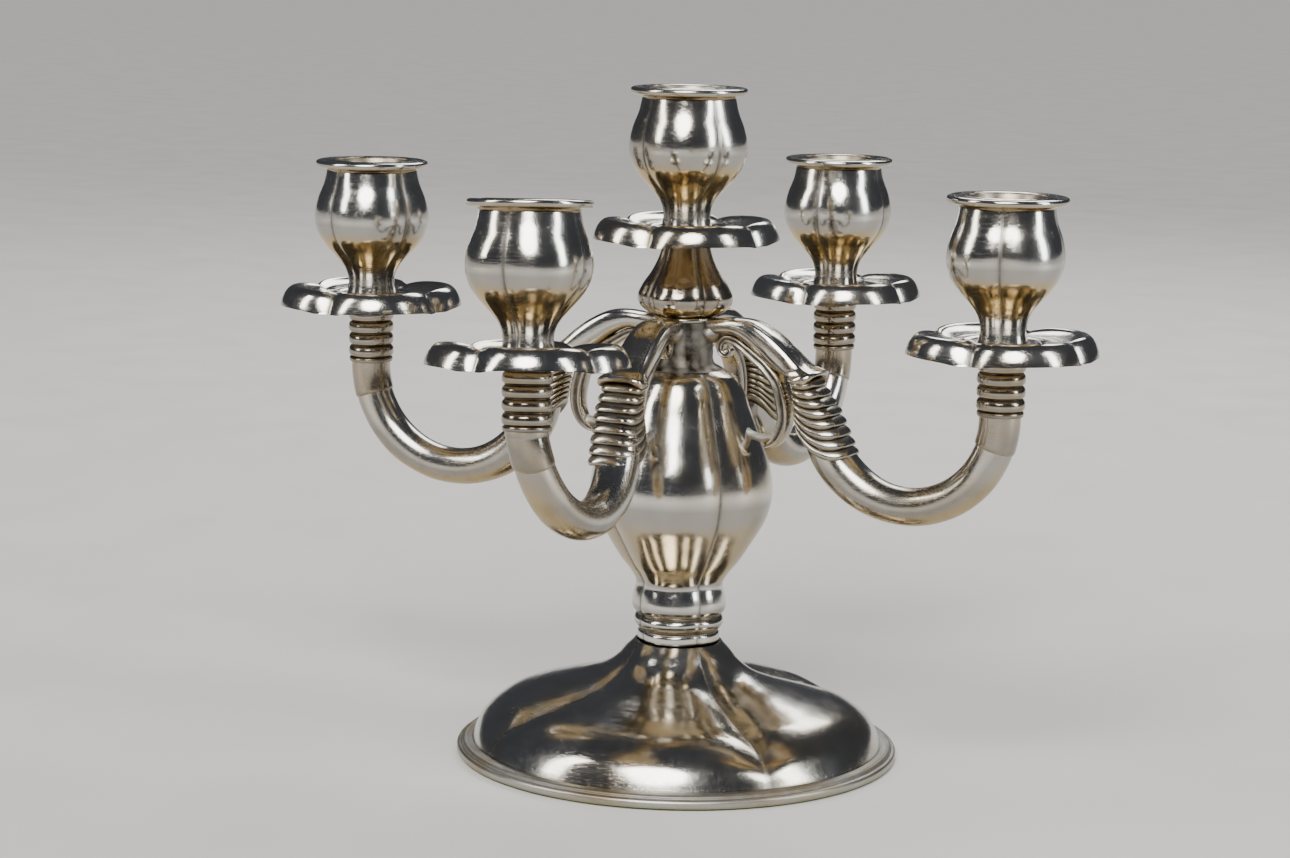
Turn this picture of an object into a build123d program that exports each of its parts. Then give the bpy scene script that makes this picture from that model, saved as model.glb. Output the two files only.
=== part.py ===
from build123d import *
from math import cos, radians, sin
import os

# Five-light candelabrum. Millimetres, +Z up, origin under the middle of the foot, front towards -Y.
# A heading is the direction of an arm seen from above: 0 is the front, positive towards +X.

# ---- driving dimensions -------------------------------------------------------------------------
CANDLE_BORE_R = 11.5            # takes a standard 22-23 mm dinner candle
WALL = 0.9                      # sheet thickness of the hollow silver parts

# foot
FELT_R, FELT_T = 66.5, 0.8
FLANGE_R, FLANGE_TOP = 69.8, 4.2
FLANGE_STEP = 1.4               # how far the upper edge of the flange is set in
DOME_R = 65.2
DOME_SEAT_R = DOME_R - 3.0      # inner edge of the flange, under the edge of the dome
BASE_PLATE_T = 0.9
FILLING_TOP = 22.0
FILLING_GAP = 0.4
NUT_POCKET_R, NUT_POCKET_TOP = 9.0, 9.0
NUT_R, NUT_T, WASHER_T = 6.0, 4.5, 1.5

# heights of the column joints
DOME_TOP = 36.4
COLLAR_TOP = 45.4
BODY_TOP = 123.4
NECK_TOP = 138.4
RING_TOP = 139.9
NECK_R, NECK_FLARE = 9.0, 2.0
RING_R = 9.9

# tie rod
ROD_R, ROD_LOW, ROD_TOP = 2.5, 2.2, 156.0
ROD_HOLE_R = 2.9

# lights
NOZZLE_H = 43.5                 # pan seat to the top of the rim
CENTRE_SEAT_Z = 167.5
ARM_SEAT_Z = 140.0
RIM_R = 18.0
LINER_DEPTH = 23.0
PAN_R = 29.4
PAN_T = 1.0
PAN_DISH = 2.5                  # depth of the dish under its crest
PAN_HOLE_R = 3.4
STUD_R = 2.6
STUD_BORE_CLEARANCE = 0.05
STUD_DEPTH = 9.0                # how far the stud reaches below the pan seat
STUD_TOP, CUP_BORE_TOP = 7.6, 9.0

# arms: name, heading, reach from the column axis, how far the bend sways to one side
ARMS = [("front", 0.0, 105.0, 5.5), ("right", 87.0, 106.5, 0.0), ("back", 176.0, 106.5, 0.0),
        ("left", -87.0, 110.0, 0.0)]
TUBE_R, TUBE_WALL = 5.8, 1.0
TUBE_TOP_HALF, TUBE_TOP_WIDTH = 6.5, 7.3   # half thickness and half width at the sleeve
SPRING_R, SPRING_Z = 47.2, 117.0   # where the tube turns up into the sleeve
FERRULE_LOW, FERRULE_R = 118.0, 7.2
FERRULE_GROOVE_R = 6.7
SPIGOT = 5.0                    # how far the tube reaches into the ferrule
FIT_GAP = 0.12                  # clearance of a tube in its sleeve or ferrule
FLUTE_SLANT = -22.0             # the ends of the sleeve are cut on a slant

# a bent arm tips its light about the foot of the ferrule: heading and angle of the lean
LEAN = {"front": (205.5, 5.0)}

# headings of the valleys between the four lobes
FOOT_VALLEY = 51.0
BODY_VALLEY = 53.0
PAN_VALLEY = {"centre": -4.0, "front": -11.0, "right": -4.0, "back": -4.0, "left": -4.0}
CUP_VALLEY = {"centre": 60.0, "front": 2.0, "right": 13.0, "back": -2.0, "left": 71.0}

# ---- profiles: (height, radius over the lobes, depth of the valleys as a part of the radius) -----
DOME_PROFILE = [(4.2, 65.2, 0.01), (7.0, 64.2, 0.015), (10.5, 62.5, 0.025), (14.2, 59.0, 0.04),
                (17.4, 54.0, 0.07), (20.2, 46.0, 0.10), (22.4, 38.0, 0.12), (24.6, 30.2, 0.13),
                (27.2, 23.8, 0.12), (30.6, 19.4, 0.09), (34.0, 16.4, 0.07), (36.4, 14.0, 0.04)]
# the baluster: its waisted foot, then its belly and shoulder
WAIST_PROFILE = [(45.4, 14.2, 0.05), (48.2, 15.0, 0.06), (51.8, 14.6, 0.06), (55.3, 13.9, 0.08),
                 (58.5, 15.6, 0.10), (62.0, 18.4, 0.12)]
BODY_PROFILE = [(62.0, 18.4, 0.12), (69.6, 23.3, 0.12),
                (77.0, 27.4, 0.12), (84.5, 29.1, 0.12), (92.0, 28.3, 0.12), (101.0, 25.2, 0.12),
                (110.0, 21.8, 0.12), (117.0, 19.2, 0.12), (121.3, 16.4, 0.11), (123.4, 12.6, 0.08)]
KNOP_PROFILE = [(139.9, 8.6, 0.08), (141.4, 12.2, 0.10), (143.4, 14.4, 0.11), (145.8, 15.1, 0.12),
                (149.0, 13.8, 0.12), (153.5, 10.4, 0.12), (158.0, 7.9, 0.12), (161.5, 6.9, 0.10),
                (164.6, 7.1, 0.06)]
# the nozzle cup, measured up from the pan seat
CUP_PROFILE = [(0.0, 7.1, 0.12), (3.2, 6.6, 0.14), (6.2, 6.6, 0.14), (9.0, 7.6, 0.13),
               (12.0, 9.4, 0.12), (15.5, 12.2, 0.11), (19.0, 15.0, 0.10), (23.0, 17.4, 0.09),
               (27.0, 18.2, 0.08), (31.5, 17.5, 0.07), (36.0, 15.4, 0.06), (39.8, 14.1, 0.05)]
# the pan, measured up from its seat: the lip rolls down from the crest
PAN_CREST = 2.5
PAN_LIP = [(-3.5, 1.0), (-1.5, 0.992), (0.4, 0.965), (1.7, 0.925), (2.5, 0.86)]


def heading(angle, radius=1.0, z=0.0):
    """The point at a heading, a radius from the column axis and a height."""
    return Vector(radius * sin(radians(angle)), -radius * cos(radians(angle)), z)


def tipped(name, foot, height):
    """The frame at a height above the foot of a light, which leans if its arm is bent."""
    towards, lean = LEAN.get(name, (0.0, 0.0))
    hinge = Axis((0, 0, 0), heading(towards + 90))
    up, across = Vector(0, 0, 1).rotate(hinge, lean), Vector(1, 0, 0).rotate(hinge, lean)
    return Plane(foot + up * height, x_dir=across, z_dir=up)


def lobed_wire(radius, depth, valley, z):
    """Outline of four equal round lobes, each an arc over its crest from valley to valley."""
    corners = [heading(valley + 90 * i, radius * (1 - depth), z) for i in range(4)]
    crests = [heading(valley + 45 + 90 * i, radius, z) for i in range(4)]
    return Wire([ThreePointArc(corners[i], crests[i], corners[(i + 1) % 4]) for i in range(4)])


def lobed_solid(profile, valley, inset=0.0):
    """A lobed body lofted through the sections of a profile."""
    return Solid.make_loft([lobed_wire(r - inset, depth, valley, z) for z, r, depth in profile])


def disc(radius, low, high, hole=0.0):
    """A flat ring or disc between two heights."""
    body = Pos(0, 0, (low + high) / 2) * Cylinder(radius, high - low)
    return body - Pos(0, 0, (low + high) / 2) * Cylinder(hole, high - low + 2) if hole else body


def turned(points):
    """A turned body from its half outline, given as (radius, height) corners."""
    outline = make_face(Polyline(*[(r, 0, z) for r, z in points], close=True))
    return revolve(outline, Axis.Z)


def limb(stations, side, slant=0.0):
    """A bent limb through stations (point, half thickness across the bend, half width).

    The half width is never the smaller, which keeps the sections' seams in line. side is the
    direction of the width; slant tips the sections about it, in degrees.
    """
    path = Spline(*[point for point, _, _ in stations])
    sections = []
    for point, half, width in stations:
        along = path.tangent_at(path.param_at_point(point)).rotate(Axis((0, 0, 0), side), slant)
        sections.append((Plane(point, x_dir=side, z_dir=along) * Ellipse(width, half)).face())
    return Solid.make_loft([section.outer_wire() for section in sections])


# ---- foot ---------------------------------------------------------------------------------------
def make_foot():
    """Felt, plate, filling, flange and dome, with the washer and nut of the tie rod."""
    dome = lobed_solid(DOME_PROFILE, FOOT_VALLEY)
    dome -= lobed_solid(DOME_PROFILE[:-1], FOOT_VALLEY, inset=WALL)
    dome -= disc(ROD_HOLE_R, DOME_TOP - 6, DOME_TOP + 1)
    weight = lobed_solid(DOME_PROFILE[:-1], FOOT_VALLEY, inset=WALL + FILLING_GAP)
    weight &= disc(DOME_R, 0, FILLING_TOP)
    weight += disc(DOME_SEAT_R - 0.1, FELT_T + BASE_PLATE_T, FLANGE_TOP)
    weight -= disc(ROD_HOLE_R, 0, FILLING_TOP + 1)
    weight -= disc(NUT_POCKET_R, 0, NUT_POCKET_TOP)
    upper_r, plate_top = FLANGE_R - FLANGE_STEP, FELT_T + BASE_PLATE_T
    flange = turned([(FELT_R + 0.1, 0.0), (FLANGE_R - 0.5, 0.0), (FLANGE_R, 0.5), (FLANGE_R, 2.6),
                     (FLANGE_R - 0.4, 3.1), (upper_r, 3.2), (upper_r - 0.3, 3.9),
                     (upper_r - 1.0, FLANGE_TOP), (DOME_SEAT_R, FLANGE_TOP),
                     (DOME_SEAT_R, plate_top), (FELT_R + 0.1, plate_top)])
    plate = disc(FELT_R, FELT_T, plate_top, NUT_POCKET_R)
    felt = disc(FELT_R, 0.0, FELT_T)
    washer_low = NUT_POCKET_TOP - WASHER_T
    washer = disc(NUT_POCKET_R - 0.5, washer_low, NUT_POCKET_TOP, ROD_R + 0.1)
    nut = extrude(Plane.XY.offset(washer_low - NUT_T) * RegularPolygon(NUT_R, 6), NUT_T)
    nut -= disc(ROD_R, 0, NUT_POCKET_TOP + 1)
    return {"felt_pad": felt, "base_plate": plate, "base_weight": weight, "base_flange": flange,
            "base_dome": dome, "base_washer": washer, "base_nut": nut}


# ---- column -------------------------------------------------------------------------------------
def make_column():
    """Tie rod, collar, baluster, neck, ring and knop, stacked on the foot."""
    rod = disc(ROD_R, ROD_LOW, ROD_TOP)
    collar = turned([(ROD_HOLE_R, DOME_TOP), (12.3, DOME_TOP), (12.6, 38.0), (12.6, 40.0),
                     (13.2, 41.0), (13.9, 42.2), (14.0, 43.6), (13.5, 44.6), (13.5, COLLAR_TOP),
                     (ROD_HOLE_R, COLLAR_TOP)])
    body = lobed_solid(WAIST_PROFILE, BODY_VALLEY) + lobed_solid(BODY_PROFILE, BODY_VALLEY)
    body -= lobed_solid(WAIST_PROFILE[1:], BODY_VALLEY, inset=WALL)
    body -= lobed_solid(BODY_PROFILE[:-1], BODY_VALLEY, inset=WALL)
    body -= disc(ROD_HOLE_R, COLLAR_TOP - 1, BODY_TOP + 1)
    neck = turned([(ROD_HOLE_R, BODY_TOP), (10.6, BODY_TOP), (NECK_R, BODY_TOP + 2.5),
                   (NECK_R, NECK_TOP - NECK_FLARE), (9.6, NECK_TOP), (ROD_HOLE_R, NECK_TOP)])
    ring = turned([(ROD_HOLE_R, NECK_TOP), (RING_R - 0.6, NECK_TOP), (RING_R, NECK_TOP + 0.4),
                   (RING_R, RING_TOP - 0.4), (RING_R - 0.6, RING_TOP), (ROD_HOLE_R, RING_TOP)])
    knop = lobed_solid(KNOP_PROFILE, BODY_VALLEY)
    knop -= disc(ROD_R, RING_TOP - 1, ROD_TOP)
    knop_top = KNOP_PROFILE[-1][0]
    knop += disc(6.2, knop_top - 0.6, CENTRE_SEAT_Z - PAN_T)
    knop -= stud_bore(CENTRE_SEAT_Z)
    return {"tie_rod": rod, "column_collar": collar, "column_body": body, "column_neck": neck,
            "neck_ring": ring, "knop": knop}


def stud_bore(seat):
    """The threaded hole under a pan seat that takes a nozzle's stud."""
    return disc(STUD_R + STUD_BORE_CLEARANCE, seat - STUD_DEPTH - 0.6, seat + 1)


# ---- arms ---------------------------------------------------------------------------------------
def make_arm(name, angle, reach, sway):
    """One arm in its vertical plane: tube, fluted sleeve, leaf cap, scroll bracket and ferrule."""
    bend = (reach - SPRING_R) / 2
    side = heading(angle + 90)
    foot = heading(angle, reach, FERRULE_LOW)

    def at(r, z, aside=0.0):
        return heading(angle, r, z) + side * aside

    def on_bend(turn, shift=0.0):
        """A point of the bend, turned round from its inner end; the bend sways to one side."""
        return at(SPRING_R + bend * (1 - cos(radians(turn))) + shift,
                  SPRING_Z - bend * sin(radians(turn)), sway * max(0.0, sin(radians(turn))))

    def tube_station(turn, grow=0.0):
        """The tube narrows from the sleeve to the foot of the bend."""
        slim = min(turn / 105, 1.0)
        return (on_bend(turn), TUBE_TOP_HALF + (TUBE_R - TUBE_TOP_HALF) * slim + grow,
                TUBE_TOP_WIDTH + (TUBE_R - TUBE_TOP_WIDTH) * slim + grow)

    # the upper end of the tube is a spigot in the sleeve, the outer end one in the ferrule
    end = tipped(name, foot, SPIGOT).origin

    def whole_tube(grow=0.0):
        stations = [tube_station(turn, grow) for turn in range(0, 181, 15)]
        return limb(stations + [(end, TUBE_R + grow, TUBE_R + grow)], side)

    tube = whole_tube() - whole_tube(-TUBE_WALL)

    # the sleeve widens downwards and laps over the tube, and ends against the cap at the lip
    lip = Plane(at(41.0, 122.4), x_dir=side, z_dir=heading(angle, 0.6, -0.8))
    sleeve_outer = limb([(on_bend(26, 0.5), 8.4, 8.5), (on_bend(13, 0.5), 8.2, 8.3),
                         (on_bend(0, 0.5), 7.8, 7.9), (at(44.8, 120.6), 7.2, 7.4),
                         (at(40.6, 124.4), 6.6, 6.9)], side, FLUTE_SLANT)
    sleeve_outer = split(sleeve_outer, lip, keep=Keep.TOP)
    sleeve = sleeve_outer - limb([tube_station(t, 2 * FIT_GAP) for t in (0, 12, 24, 36)], side)

    # the cap starts at the neck, arches over and ends in a lip that stands over the sleeve
    cap = limb([(at(9.6, 136.4), 3.4, 3.6), (at(14.0, 137.4), 4.0, 4.2),
                (at(20.5, 137.6), 4.6, 5.0), (at(27.0, 135.0), 5.0, 5.6),
                (at(33.4, 130.4), 5.6, 6.2), (at(38.6, 125.4), 6.6, 6.9),
                (at(42.4, 120.6), 7.3, 7.6)], side)
    cap = split(cap, lip, keep=Keep.BOTTOM)
    cap -= disc(NECK_R, BODY_TOP, NECK_TOP - NECK_FLARE)
    cap -= disc(RING_R + 0.1, NECK_TOP - NECK_FLARE, RING_TOP + 5)

    # the scroll hangs from the arch, curls back and ends in a point beside the stub
    scroll = limb([(at(16.0, 131.0), 1.6, 2.6), (at(21.6, 130.6), 2.2, 3.2),
                   (at(27.2, 127.0), 2.6, 3.6), (at(32.6, 121.6), 2.7, 3.6),
                   (at(35.4, 114.8), 2.6, 3.5), (at(35.2, 108.2), 2.5, 3.3),
                   (at(32.6, 103.2), 2.2, 2.9), (at(28.6, 99.9), 1.0, 1.6)], side)
    scroll += Pos(at(14.8, 130.8)) * Sphere(2.9)
    stub_start, stub_end = 20.0, 33.4
    scroll += Plane(at(stub_start, 105.8), z_dir=heading(angle)) * Cylinder(
        1.5, stub_end - stub_start, align=(Align.CENTER, Align.CENTER, Align.MIN))
    scroll -= lobed_solid(BODY_PROFILE, BODY_VALLEY)
    scroll -= disc(NECK_R, BODY_TOP, NECK_TOP)
    scroll -= cap
    scroll -= sleeve_outer

    # the ferrule is ribbed above a short plain foot
    top = ARM_SEAT_Z - PAN_T
    rings, first, pitch = 5, 119.6, 3.9
    outline = [(0, FERRULE_LOW), (FERRULE_R - 0.3, FERRULE_LOW), (FERRULE_R - 0.3, first - 0.4)]
    for i in range(rings):
        low = first + pitch * i
        outline += [(FERRULE_GROOVE_R, low), (FERRULE_R, low + 0.9), (FERRULE_R, low + 2.6),
                    (FERRULE_GROOVE_R, low + 3.5)]
    outline += [(FERRULE_GROOVE_R, top), (0, top)]
    ferrule = turned(outline) - stud_bore(ARM_SEAT_Z)
    ferrule = tipped(name, foot, -FERRULE_LOW) * ferrule - whole_tube(FIT_GAP)
    nodes = {"tube": tube, "sleeve": sleeve, "cap": cap, "scroll": scroll, "ferrule": ferrule}
    return {f"arm_{name}_{piece}": shape for piece, shape in nodes.items()}


# ---- lights -------------------------------------------------------------------------------------
def make_light(name, foot, seat):
    """Drip pan, nozzle cup, rim, candle liner and threaded stud of one light."""
    valley = PAN_VALLEY[name]
    lip = [(z, PAN_R * k, 0.09) for z, k in PAN_LIP]
    under = [(z - PAN_T, r - PAN_T, d) for z, r, d in lip]
    dish = [(PAN_CREST - PAN_DISH, 12.0, 0.02), (PAN_CREST - 1.4, 19.0, 0.05),
            (PAN_CREST + 0.2, 24.6, 0.09)]
    below = [(PAN_CREST - PAN_DISH - PAN_T, 12.5, 0.02), (PAN_CREST - 1.4 - PAN_T, 19.5, 0.05),
             (PAN_CREST + 0.2 - PAN_T, 25.1, 0.09)]
    hollow = lobed_solid(under, valley)
    floor = lobed_solid(below, valley)
    pan = lobed_solid(lip, valley) - lobed_solid(dish, valley) - (hollow - floor)
    pan -= disc(PAN_HOLE_R, -10, 10)

    turn = CUP_VALLEY[name]
    inside = [(z, r - WALL, d) for z, r, d in CUP_PROFILE[4:]]
    inside = [(8.0, 4.6, 0.05)] + inside
    cup = lobed_solid(CUP_PROFILE, turn) - lobed_solid(inside, turn)
    cup -= disc(STUD_R + STUD_BORE_CLEARANCE, -1, CUP_BORE_TOP)
    bore_low = NOZZLE_H - LINER_DEPTH
    liner_r = CANDLE_BORE_R + 0.45
    liner = disc(liner_r, bore_low - 0.8, NOZZLE_H - 0.6) - disc(CANDLE_BORE_R, bore_low, NOZZLE_H)
    rim = turned([(liner_r, CUP_PROFILE[-1][0]), (14.1, 39.8), (14.6, 40.8), (16.2, 41.6),
                  (RIM_R - 0.3, 42.0), (RIM_R, 42.6), (RIM_R - 0.4, 43.2), (15.2, 43.1),
                  (13.0, NOZZLE_H), (liner_r, NOZZLE_H)])
    stud = disc(STUD_R, -STUD_DEPTH, STUD_TOP)
    nodes = {"pan": pan, "cup": cup, "rim": rim, "liner": liner, "stud": stud}
    place = tipped(name, foot, seat - foot.Z)
    return {f"{piece}_{name}": place * shape for piece, shape in nodes.items()}


parts = {}
parts.update(make_foot())
parts.update(make_column())
for arm, angle, reach, sway in ARMS:
    parts.update(make_arm(arm, angle, reach, sway))
    parts.update(make_light(arm, heading(angle, reach, FERRULE_LOW), ARM_SEAT_Z))
parts.update(make_light("centre", Vector(0, 0, RING_TOP), CENTRE_SEAT_Z))

os.makedirs("parts", exist_ok=True)
for node, shape in parts.items():
    shape.label = node
    export_step(shape, f"parts/{node}.step")
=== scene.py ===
import bmesh
import bpy
import numpy as np
from math import cos, pi, radians, sin
from mathutils import Matrix, Vector


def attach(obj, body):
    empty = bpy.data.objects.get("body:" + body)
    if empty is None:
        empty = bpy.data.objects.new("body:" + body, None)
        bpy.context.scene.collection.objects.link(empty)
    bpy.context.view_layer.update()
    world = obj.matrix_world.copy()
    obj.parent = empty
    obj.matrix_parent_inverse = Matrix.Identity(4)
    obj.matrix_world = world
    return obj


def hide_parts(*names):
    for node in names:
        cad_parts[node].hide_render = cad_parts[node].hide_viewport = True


# Five-light silver candelabrum. Sizes are in millimetres and become metres where a mesh is made.
# A heading is a direction seen from above: 0 is -Y, positive towards +X.

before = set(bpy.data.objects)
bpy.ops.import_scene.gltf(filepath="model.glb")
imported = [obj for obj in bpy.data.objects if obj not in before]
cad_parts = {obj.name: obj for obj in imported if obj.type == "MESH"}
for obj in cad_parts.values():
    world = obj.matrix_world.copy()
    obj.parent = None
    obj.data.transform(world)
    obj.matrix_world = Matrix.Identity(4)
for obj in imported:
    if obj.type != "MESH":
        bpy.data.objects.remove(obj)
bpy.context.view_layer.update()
MM = 0.001

# ---- sizes shared with the CAD ------------------------------------------------------------------
ARMS = {"front": (0.0, 105.0, 5.5), "right": (87.0, 106.5, 0.0), "back": (176.0, 106.5, 0.0),
        "left": (-87.0, 110.0, 0.0)}                 # heading, reach, sway of the bend
CENTRE_SEAT_Z, ARM_SEAT_Z = 167.5, 140.0             # where a cup stands on its pan
SPRING_R, SPRING_Z = 47.2, 117.0                     # where a tube starts its bend
FERRULE_LOW, FERRULE_TOP = 118.0, 139.0
FERRULE_RINGS, RING_LOW, RING_PITCH = 5, 119.5, 3.9
LEAN = {"front": (205.5, 5.0)}                       # a bent arm tips its light: heading, angle
FOOT_VALLEY, BODY_VALLEY = 51.0, 53.0                # headings of a valley
PAN_VALLEY = {"centre": -4.0, "front": -11.0, "right": -4.0, "back": -4.0, "left": -4.0}
CUP_VALLEY = {"centre": 60.0, "front": 2.0, "right": 13.0, "back": -2.0, "left": 71.0}
TUBE_R = 5.8
STUD_R, STUD_LOW, STUD_TOP = 2.6, -9.0, 7.6
WALL, PAN_T = 0.9, 1.0                               # thickness of the silver
DOME_FOOT_Z, BODY_LOW, BODY_TOP = 4.4, 45.4, 123.4
RING_Z, KNOP_LOW = 138.4, 139.9

# ---- profiles of turned pieces: (radius, height) ------------------------------------------------
FLANGE_OUT = [(66.6, 0.50), (69.1, 0.48), (69.7, 0.85), (69.8, 1.5), (69.75, 2.5), (69.3, 3.05),
              (68.5, 3.15), (68.3, 3.3), (68.2, 3.8), (67.8, 4.15), (66.6, 4.25), (63.0, 4.3)]
FLANGE_IN = [(63.0, 1.8), (66.6, 1.75)]
NECK = [(12.4, 123.3), (11.4, 123.9), (9.9, 124.8), (9.1, 126.3), (8.9, 129.5), (8.95, 133.5),
        (9.05, 136.4), (9.6, 138.4)]
NECK_RING = [(8.6, 138.35), (9.5, 138.4), (9.95, 138.8), (10.0, 139.2), (9.9, 139.6),
             (9.4, 139.95), (8.6, 140.0)]
FELT_OVER = [(68.9, 0.02), (69.15, 0.2), (68.9, 0.45), (66.5, 0.47), (66.3, 0.8), (40.0, 0.8),
             (12.0, 0.8), (0.5, 0.8)]
FELT_UNDER = [(0.5, 0.0), (12.0, 0.0), (40.0, 0.0), (60.0, 0.0)]
# the rest stand on the seat of their light, or on a ring of the ferrule
RIM = [(11.9, 39.8), (14.1, 39.8), (14.6, 40.4), (15.6, 40.9), (16.9, 41.1), (17.8, 41.35),
       (18.1, 42.1), (17.9, 42.9), (17.2, 43.25), (15.4, 43.1), (14.0, 43.3), (12.9, 43.5),
       (11.9, 43.3)]
LINER_OUT = [(11.95, 42.7), (11.95, 36.0), (11.95, 20.4), (11.3, 19.75), (6.0, 19.7), (1.0, 19.7)]
LINER_BORE = [(1.0, 20.5), (8.0, 20.5), (11.0, 20.55), (11.45, 21.2), (11.5, 30.0), (11.5, 42.6),
              (11.7, 42.95)]
FERRULE_RING = [(6.45, 0.0), (6.95, 0.45), (7.25, 1.2), (7.3, 2.0), (7.15, 2.8), (6.8, 3.4),
                (6.45, 3.7)]
FERRULE_START = [(5.9, 118.0), (6.8, 117.9), (7.0, 118.4), (6.9, 119.2)]

# ---- profiles of lobed pieces: (height, radius over the lobes, valley depth as a share of it) ---
DOME = [(4.2, 65.2, 0.01), (7.0, 64.2, 0.015), (10.5, 62.5, 0.03), (14.2, 59.0, 0.05),
        (17.4, 54.2, 0.07), (20.2, 46.6, 0.10), (22.6, 38.4, 0.115), (24.8, 30.6, 0.12),
        (27.4, 24.0, 0.12), (30.6, 19.6, 0.10), (34.0, 16.6, 0.08), (36.4, 14.0, 0.04)]
FILLED = [(1.8, 60.0, 0.01), (8.0, 59.5, 0.02), (13.0, 52.0, 0.08), (17.0, 43.0, 0.12),
          (20.0, 33.0, 0.14), (21.0, 24.0, 0.12), (21.2, 10.0, 0.04)]
COLLAR = [(36.35, 12.2, 0.05), (36.9, 12.9, 0.05), (38.2, 13.1, 0.05), (39.4, 12.95, 0.05),
          (40.0, 12.5, 0.045), (40.6, 12.7, 0.045), (41.3, 13.5, 0.045), (42.4, 14.1, 0.045),
          (43.6, 14.2, 0.045), (44.5, 13.7, 0.045), (44.9, 13.2, 0.05), (45.4, 13.2, 0.05)]
BODY = [(45.4, 13.4, 0.06), (46.2, 14.4, 0.08), (48.2, 15.0, 0.09), (51.8, 14.6, 0.09),
        (55.3, 13.9, 0.10), (58.5, 15.6, 0.115), (62.0, 18.4, 0.12), (69.6, 23.3, 0.12),
        (77.0, 27.4, 0.12), (84.5, 29.1, 0.12), (92.0, 28.3, 0.12), (101.0, 25.2, 0.12),
        (110.0, 21.8, 0.12), (117.0, 19.2, 0.12), (121.3, 16.4, 0.11), (123.4, 12.6, 0.08)]
KNOP = [(139.9, 9.0, 0.10), (141.4, 12.6, 0.13), (143.4, 14.6, 0.15), (145.8, 15.1, 0.16),
        (149.0, 13.8, 0.16), (153.5, 10.8, 0.15), (158.0, 8.6, 0.14), (161.5, 7.6, 0.12),
        (164.6, 7.1, 0.06), (166.4, 7.4, 0.04)]
CUP = [(0.0, 7.9, 0.10), (3.2, 7.4, 0.11), (6.2, 7.7, 0.12), (9.0, 9.0, 0.12), (12.0, 11.5, 0.115),
       (15.5, 14.7, 0.11), (19.0, 17.1, 0.10), (23.0, 18.3, 0.09), (26.8, 18.3, 0.08),
       (31.0, 17.3, 0.07), (35.4, 15.6, 0.06), (39.8, 14.6, 0.05)]
CUP_FLOOR = [(8.0, 4.6, 0.05), (8.0, 2.6, 0.0)]
PAN_OVER = [(-3.5, 29.4, 0.15), (-2.5, 29.25, 0.155), (-1.1, 28.8, 0.16), (0.4, 28.1, 0.165),
            (1.7, 27.1, 0.165), (2.6, 25.7, 0.165), (2.7, 24.5, 0.16), (1.9, 22.9, 0.14),
            (1.0, 20.4, 0.10), (0.4, 16.6, 0.05), (0.1, 12.6, 0.02), (-0.25, 11.9, 0.01),
            (-0.2, 11.5, 0.0), (0.05, 11.2, 0.0), (0.05, 8.0, 0.0), (0.0, 3.4, 0.0)]
PAN_DIP, PAN_LOWEST = 2.8, -4.6                      # how far its valleys drop, and no lower
PAN_LIP_R, PAN_FLOOR_R = 28.0, 20.0                  # between them its wall slants

# ---- tables of the arms, in the arm's upright plane ---------------------------------------------
# the tube's bend: turn in degrees, half thickness; its upper end is slim inside the sleeve
BEND = [(4, 4.6), (10, 5.4), (18, 6.1), (30, 6.45), (45, 6.45), (60, 6.2), (75, 5.9), (90, TUBE_R),
        (135, TUBE_R), (180, TUBE_R)]
# the sleeve's ribs: inner end, outer end, half width, sag between the ends
RIBS = 8
SLEEVE = [(39.4, 123.4, 46.0, 124.0, 6.0, 0.2), (39.1, 121.6, 47.4, 122.0, 6.3, 0.5),
          (39.5, 119.5, 49.8, 118.5, 6.6, 1.0), (39.5, 117.3, 52.3, 115.3, 6.8, 1.6),
          (39.9, 115.4, 54.1, 112.3, 7.0, 2.2), (40.2, 113.2, 56.4, 108.0, 7.2, 2.9),
          (40.6, 111.2, 58.3, 104.2, 7.4, 3.5), (41.2, 108.6, 59.6, 101.0, 7.6, 4.0)]
# the cap: under edge, upper edge, half width; its last row is the mouth that the lip rolls round
CAP = [(9.2, 134.5, 9.2, 139.9, 3.8), (13.6, 134.7, 13.4, 140.3, 4.0),
       (17.6, 134.9, 17.9, 140.8, 4.4), (21.6, 133.4, 24.6, 140.4, 5.1),
       (26.0, 130.3, 31.0, 137.6, 5.6), (30.7, 126.9, 36.9, 133.4, 5.9),
       (34.4, 124.8, 41.2, 129.6, 6.0), (36.6, 124.0, 43.8, 127.6, 6.3),
       (38.0, 123.5, 46.4, 126.6, 7.0)]
# the rolled lip: outwards from the mouth, ahead of it
LIP = [(0.2, 0.25), (0.5, 0.6), (0.85, 1.15), (1.05, 1.8), (1.0, 2.5), (0.65, 3.1), (0.05, 3.4),
       (-0.7, 3.3), (-1.4, 2.7)]
# the scroll: place, half thickness, half width; it starts in the small curl at the neck
SCROLL = [(15.3, 130.9, 0.6, 1.3), (16.3, 130.0, 0.9, 1.8), (15.3, 128.7, 1.0, 2.1),
          (13.5, 129.6, 1.05, 2.2), (13.2, 131.8, 1.15, 2.3), (14.9, 133.6, 1.3, 2.5),
          (18.2, 133.4, 1.5, 2.8), (22.0, 131.3, 1.7, 3.1), (25.8, 128.8, 1.9, 3.4),
          (29.9, 125.6, 2.1, 3.6), (33.3, 121.6, 2.2, 3.6), (35.1, 116.6, 2.25, 3.6),
          (35.8, 111.4, 2.2, 3.3), (35.0, 106.6, 2.0, 3.0), (33.0, 103.4, 1.6, 2.6),
          (30.8, 101.8, 1.0, 2.0), (29.2, 101.2, 0.4, 1.4)]

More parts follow.
